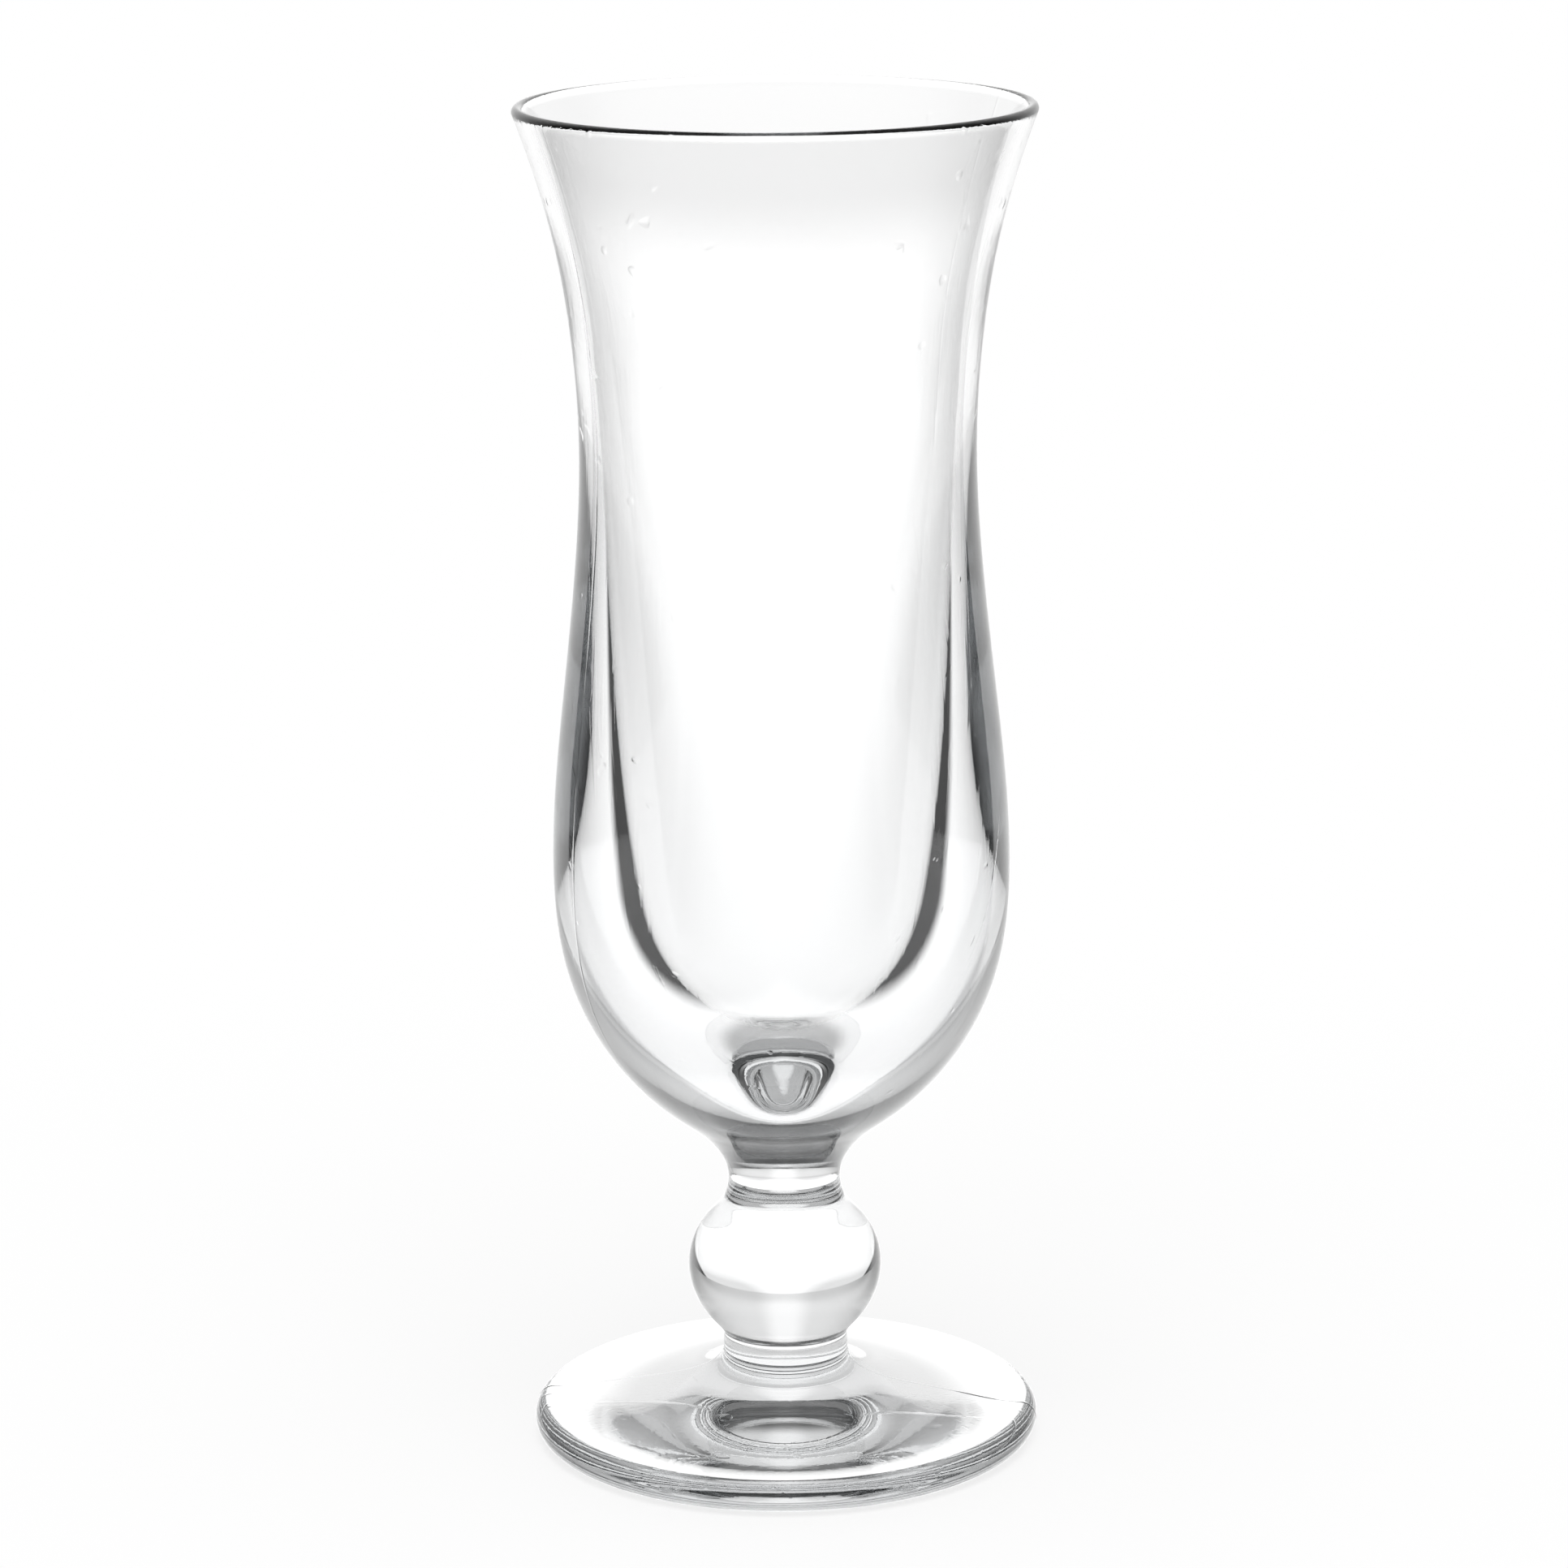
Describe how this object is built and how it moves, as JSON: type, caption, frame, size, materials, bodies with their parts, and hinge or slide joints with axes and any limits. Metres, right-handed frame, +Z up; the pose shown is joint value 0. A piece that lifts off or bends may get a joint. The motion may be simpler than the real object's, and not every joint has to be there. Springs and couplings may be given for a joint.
{
  "type": "hurricane glass",
  "caption": "Clear hurricane glass with a flared lip, a waist and a heavy bulging base, on a solid ball-knop stem and a round flat foot, for tall mixed drinks.",
  "frame": {"origin": "middle of the ground under the foot", "axes": "+Z up along the axis of the glass; it is round, so +X and +Y are any two level directions at right angles"},
  "size_m": [0.0782, 0.0782, 0.206],
  "materials": {
    "clear_glass": "clear, fire-polished, with faint mould seams"
  },
  "bodies": {
    "root": {"bowl": "clear_glass", "stem": "clear_glass", "foot": "clear_glass"}
  },
  "joints": []
}
